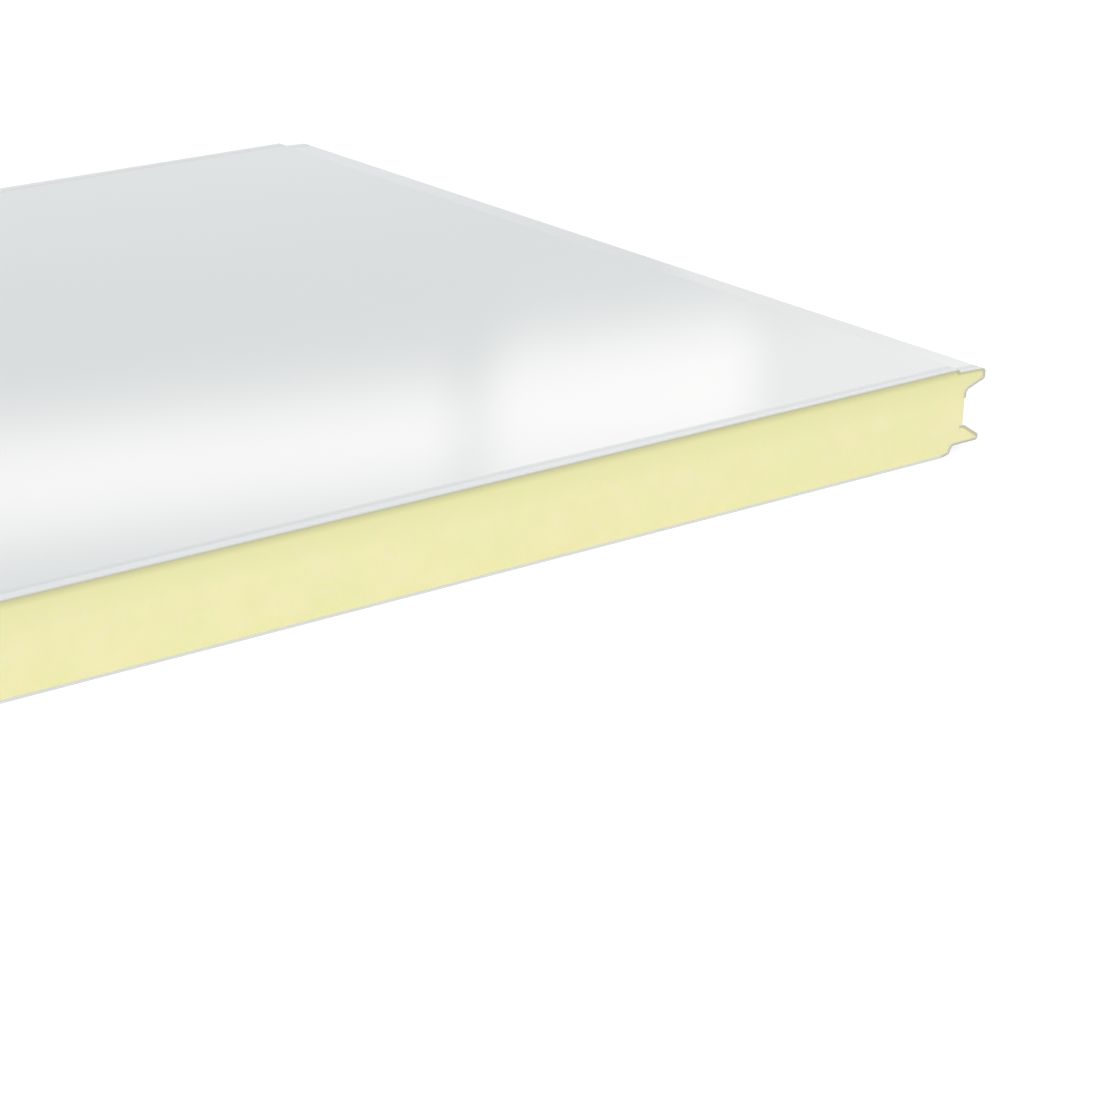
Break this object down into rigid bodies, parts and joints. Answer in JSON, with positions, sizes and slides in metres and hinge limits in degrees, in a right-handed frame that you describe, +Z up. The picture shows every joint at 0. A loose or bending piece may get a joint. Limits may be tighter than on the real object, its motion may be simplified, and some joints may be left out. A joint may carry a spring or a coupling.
{
  "type": "insulated sandwich panel",
  "caption": "Insulated building panel: rigid foam core between smooth painted steel sheets, with a tongue-and-groove joint folded along both long edges.",
  "frame": {"origin": "centre of the panel's bounding box, at the underside", "axes": "+X across the panel's width, towards the edge with the lip and tongue; +Y along its length, away from the shown cut end; +Z up through its thickness, towards the outer sheet"},
  "size_m": [1.0285, 0.7, 0.06],
  "materials": {
    "outer_sheet": "glossy pale grey coil coating",
    "foam_core": "matt, cut rigid foam",
    "inner_sheet": "glossy pale grey coil coating"
  },
  "bodies": {
    "root": {"outer_sheet": "outer_sheet", "foam_core": "foam_core", "inner_sheet": "inner_sheet"}
  },
  "joints": []
}
